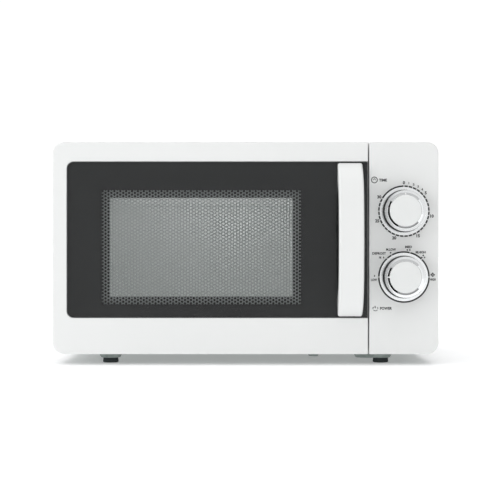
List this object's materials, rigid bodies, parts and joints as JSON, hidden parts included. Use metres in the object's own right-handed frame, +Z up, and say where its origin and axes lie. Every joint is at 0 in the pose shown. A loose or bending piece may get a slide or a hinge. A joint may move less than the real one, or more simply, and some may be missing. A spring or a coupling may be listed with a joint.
{
  "type": "microwave oven",
  "caption": "Counter-top microwave oven with a side-hinged door, arched handle, perforated window, two rotary dials and a glass turntable.",
  "frame": {"origin": "on the surface that the feet stand on, under the centre of the whole oven's box, handle and rear fittings included", "axes": "+X to the right as one faces the door, +Y from the door to the back, +Z up"},
  "size_m": [0.452, 0.3647, 0.262],
  "materials": {
    "cabinet_paint": "gloss",
    "galvanised_steel": "spangled",
    "cavity_enamel": "gloss",
    "white_abs": "gloss",
    "smoked_screen": "polished",
    "door_steel": "satin",
    "choke_plastic": "matt",
    "clear_pane": "polished",
    "black_tape": "matt",
    "knob_chrome": "polished",
    "knob_white": "gloss",
    "dial_print": "printed",
    "foot_rubber": "matt",
    "tray_glass": "polished",
    "roller_nylon": "satin",
    "zinc_screws": "zinc plated",
    "mica_sheet": "satin",
    "black_plastic": "satin",
    "aluminium_sheet": "mill",
    "core_steel": "varnished",
    "copper_wire": "enamelled",
    "fan_plastic": "satin",
    "board_laminate": "satin",
    "acetal": "satin",
    "spring_steel": "bright",
    "lamp_glass": "polished"
  },
  "bodies": {
    "oven": {"outer_cabinet": "cabinet_paint", "base_plate": "galvanised_steel", "feet": "foot_rubber", "rear_panel": "galvanised_steel", "cord_bush": "black_plastic", "cabinet_screws": "zinc_screws", "chassis_screws": "zinc_screws", "front_plate": "cavity_enamel", "door_hinges": "galvanised_steel", "cavity_wrapper": "cavity_enamel", "cavity_floor": "cavity_enamel", "cavity_back": "cavity_enamel", "turntable_motor": "galvanised_steel", "waveguide_cover": "mica_sheet", "waveguide": "galvanised_steel", "magnetron_yoke": "galvanised_steel", "magnetron_core": "core_steel", "magnetron_fins": "aluminium_sheet", "filter_box": "galvanised_steel", "oven_lamp": "galvanised_steel", "air_duct": "fan_plastic", "thermal_cutouts": "black_plastic", "transformer_core": "core_steel", "transformer_windings": "copper_wire", "hv_capacitor": "aluminium_sheet", "capacitor_clamp": "galvanised_steel", "hv_diode": "black_plastic", "fan_shroud": "fan_plastic", "fan_motor": "core_steel", "filter_board": "board_laminate", "control_panel": "white_abs", "timer_switch": "galvanised_steel", "power_selector": "black_plastic", "latch_body": "fan_plastic", "microswitches": "black_plastic"},
    "door": {"door_frame": "white_abs", "door_screen": "smoked_screen", "door_handle": "white_abs", "door_screws": "zinc_screws", "door_panel": "door_steel", "choke_cover": "choke_plastic", "window_tape": "black_tape", "inner_window": "clear_pane", "latch_spring": "spring_steel"},
    "latch": {"latch_hook": "acetal"},
    "timer": {"timer_knob": "knob_chrome", "timer_knob_cap": "knob_white", "timer_shaft": "zinc_screws"},
    "power": {"power_knob": "knob_chrome", "power_knob_cap": "knob_white", "power_shaft": "zinc_screws"},
    "turntable": {"turntable_coupler": "roller_nylon"},
    "tray": {"glass_tray": "tray_glass"},
    "ring": {"roller_ring": "roller_nylon"},
    "wheel_1": {"roller_1": "roller_nylon"},
    "wheel_2": {"roller_2": "roller_nylon"},
    "wheel_3": {"roller_3": "roller_nylon"},
    "fan": {"fan_wheel": "fan_plastic"},
    "upper_switch_button": {"upper_plunger": "acetal"},
    "lower_switch_buttons": {"lower_plungers": "acetal"}
  },
  "joints": [
    {"name": "door_hinge", "type": "hinge", "parent": "oven", "child": "door", "pos_m": [-0.218, -0.1335, 0.1378], "axis": [0, 0, -1], "range_deg": [0, 105]},
    {"name": "latch_slide", "type": "slide", "parent": "door", "child": "latch", "axis": [0, 0, 1], "range_m": [0, 0.004], "stiffness_N_per_m": 500, "deforming": ["latch_spring"]},
    {"name": "timer_turn", "type": "hinge", "parent": "oven", "child": "timer", "pos_m": [0.18545, -0.15, 0.181], "axis": [0, 1, 0], "range_deg": [0, 300]},
    {"name": "power_turn", "type": "hinge", "parent": "oven", "child": "power", "pos_m": [0.18545, -0.15, 0.1039], "axis": [0, 1, 0], "range_deg": [0, 180]},
    {"name": "turntable_spin", "type": "hinge", "parent": "oven", "child": "turntable", "pos_m": [-0.052, 0.027, 0.04], "axis": [0, 0, 1], "continuous": true},
    {"name": "tray_lift", "type": "slide", "parent": "turntable", "child": "tray", "axis": [0, 0, 1], "range_m": [0, 0.025]},
    {"name": "ring_roll", "type": "hinge", "parent": "oven", "child": "ring", "pos_m": [-0.052, 0.027, 0.0458], "axis": [0, 0, 1], "continuous": true},
    {"name": "roller_1_spin", "type": "hinge", "parent": "ring", "child": "wheel_1", "pos_m": [-0.052, 0.1165, 0.0458], "axis": [0, 1, 0], "continuous": true},
    {"name": "roller_2_spin", "type": "hinge", "parent": "ring", "child": "wheel_2", "pos_m": [-0.12951, -0.01775, 0.0458], "axis": [-0.866, -0.5, 0], "continuous": true},
    {"name": "roller_3_spin", "type": "hinge", "parent": "ring", "child": "wheel_3", "pos_m": [0.02551, -0.01775, 0.0458], "axis": [0.866, -0.5, 0], "continuous": true},
    {"name": "fan_spin", "type": "hinge", "parent": "oven", "child": "fan", "pos_m": [0.159, 0.15, 0.1088], "axis": [0, 1, 0], "continuous": true},
    {"name": "upper_switch_press", "type": "slide", "parent": "oven", "child": "upper_switch_button", "axis": [0, 1, 0], "range_m": [0, 0.001], "stiffness_N_per_m": 200},
    {"name": "lower_switch_press", "type": "slide", "parent": "oven", "child": "lower_switch_buttons", "axis": [0, 1, 0], "range_m": [0, 0.001], "stiffness_N_per_m": 200}
  ],
  "couplings": [
    {"joint": "ring_roll", "follows": "turntable_spin", "ratio": 0.5},
    {"joint": "roller_1_spin", "follows": "turntable_spin", "ratio": -5.9667},
    {"joint": "roller_2_spin", "follows": "turntable_spin", "ratio": -5.9667},
    {"joint": "roller_3_spin", "follows": "turntable_spin", "ratio": -5.9667}
  ]
}
